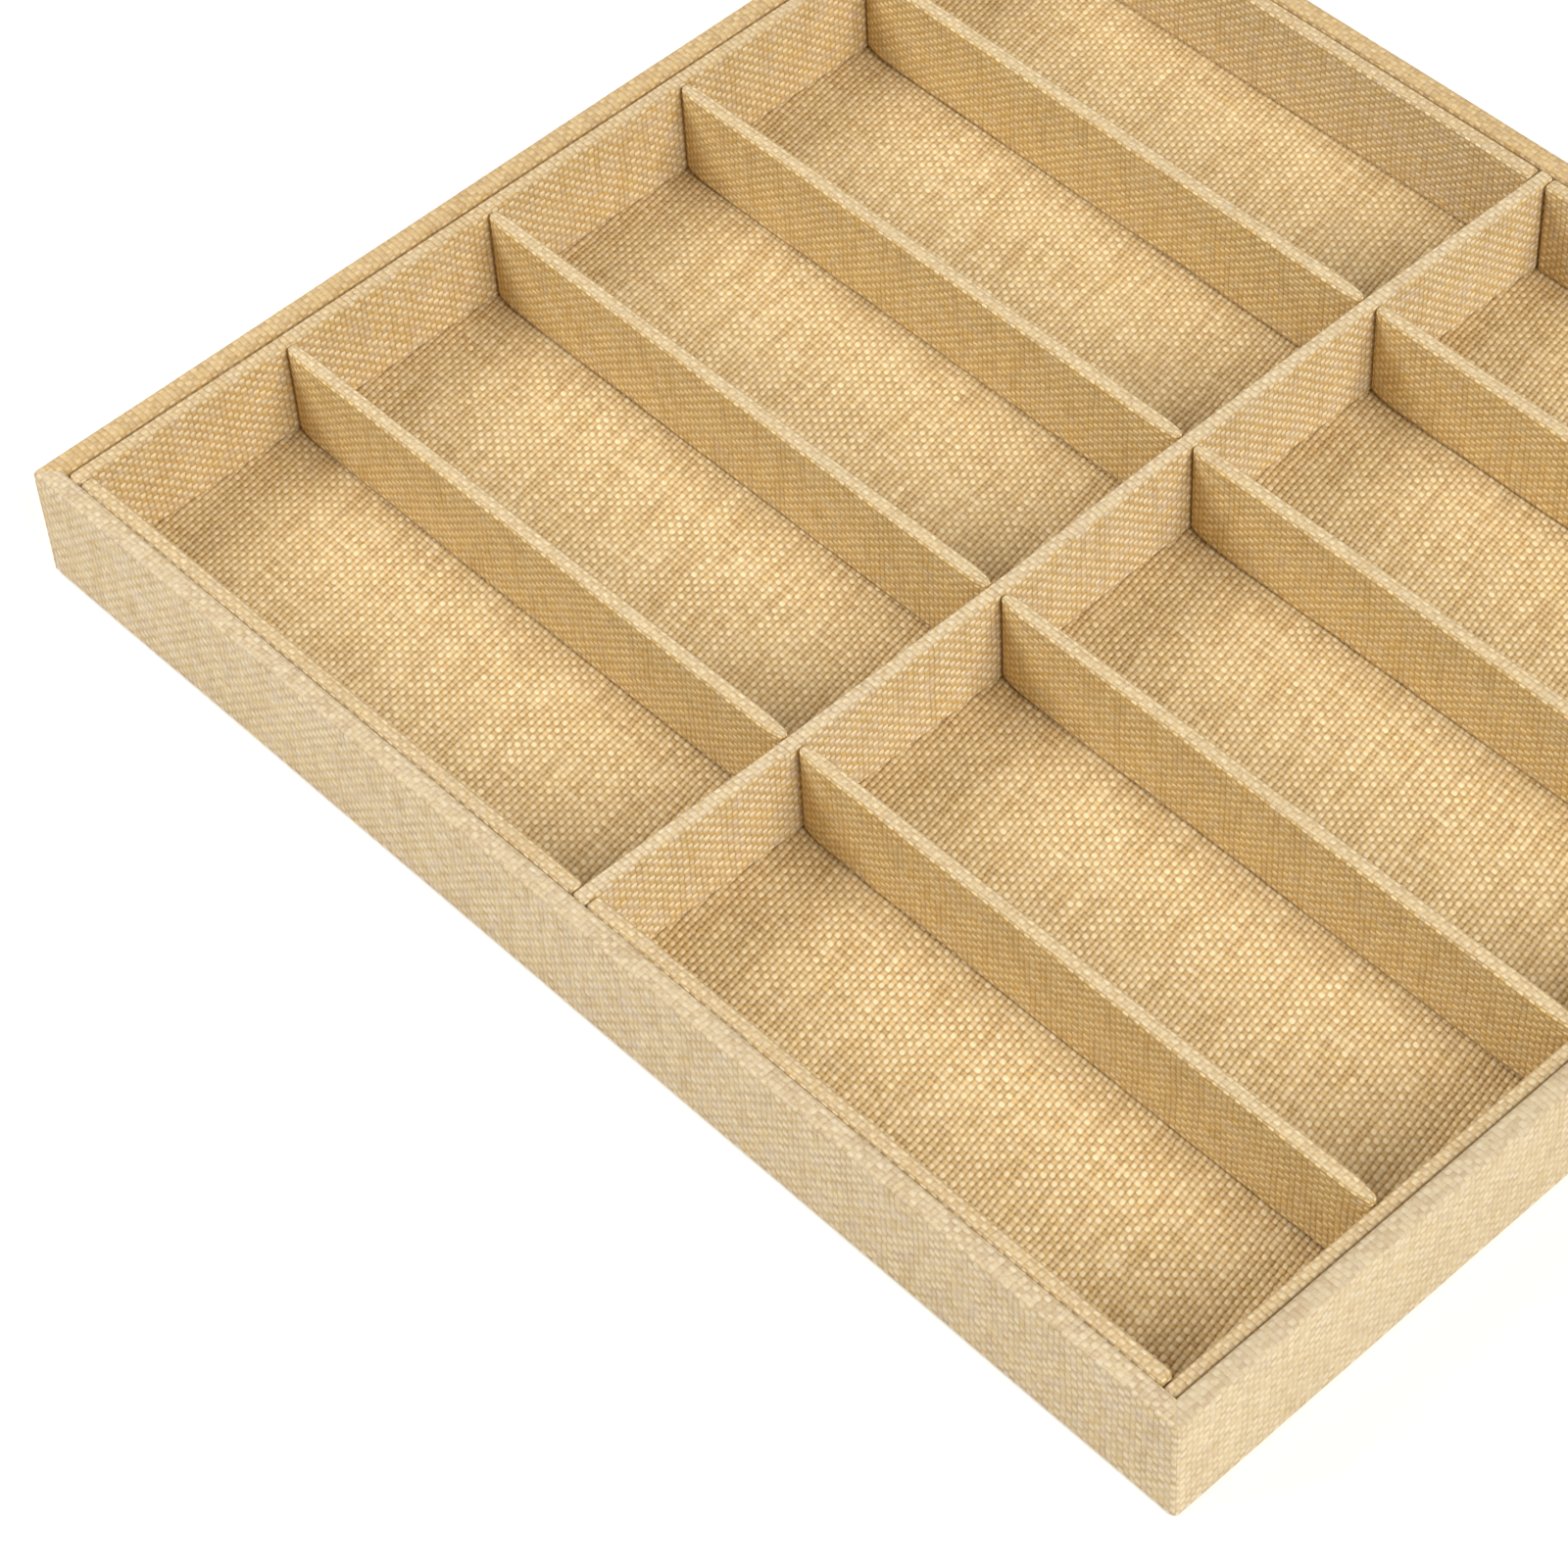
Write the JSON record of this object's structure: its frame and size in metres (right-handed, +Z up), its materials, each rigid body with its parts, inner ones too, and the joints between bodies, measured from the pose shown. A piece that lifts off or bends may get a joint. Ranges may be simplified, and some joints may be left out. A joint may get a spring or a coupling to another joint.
{
  "type": "sunglasses display tray",
  "caption": "Low rectangular linen-covered tray whose lift-out insert of covered cards makes long open compartments for folded sunglasses.",
  "frame": {"origin": "middle of the underside, on the surface that the tray rests on", "axes": "+Z up, +X along the compartments' length, +Y across the rows of compartments"},
  "size_m": [0.374, 0.3304, 0.0342],
  "materials": {
    "frame_linen": "coarse plain-weave natural linen, glued down, matt",
    "insert_linen": "coarse plain-weave natural linen, glued down, matt",
    "fibreboard": "raw fibreboard",
    "grey_card": "raw greyboard",
    "kraft_paper": "matt kraft paper"
  },
  "bodies": {
    "frame": {"base_board": "fibreboard", "wall_board_front": "fibreboard", "wall_board_right": "fibreboard", "wall_board_back": "fibreboard", "wall_board_left": "fibreboard", "wall_linen_front": "frame_linen", "wall_linen_right": "frame_linen", "wall_linen_back": "frame_linen", "wall_linen_left": "frame_linen", "bottom_sheet": "kraft_paper"},
    "insert": {"floor_card": "grey_card", "floor_linen": "insert_linen", "liner_left_card": "grey_card", "liner_left_linen": "insert_linen", "liner_right_card": "grey_card", "liner_right_linen": "insert_linen", "liner_front_left_card": "grey_card", "liner_front_left_linen": "insert_linen", "liner_front_right_card": "grey_card", "liner_front_right_linen": "insert_linen", "liner_back_left_card": "grey_card", "liner_back_left_linen": "insert_linen", "liner_back_right_card": "grey_card", "liner_back_right_linen": "insert_linen", "centre_divider_card": "grey_card", "centre_divider_linen": "insert_linen", "divider_left_1_card": "grey_card", "divider_left_1_linen": "insert_linen", "divider_left_2_card": "grey_card", "divider_left_2_linen": "insert_linen", "divider_left_3_card": "grey_card", "divider_left_3_linen": "insert_linen", "divider_left_4_card": "grey_card", "divider_left_4_linen": "insert_linen", "divider_right_1_card": "grey_card", "divider_right_1_linen": "insert_linen", "divider_right_2_card": "grey_card", "divider_right_2_linen": "insert_linen", "divider_right_3_card": "grey_card", "divider_right_3_linen": "insert_linen", "divider_right_4_card": "grey_card", "divider_right_4_linen": "insert_linen"}
  },
  "joints": [
    {"name": "insert_lift", "type": "slide", "parent": "frame", "child": "insert", "axis": [0, 0, 1], "range_m": [0, 0.04]}
  ]
}
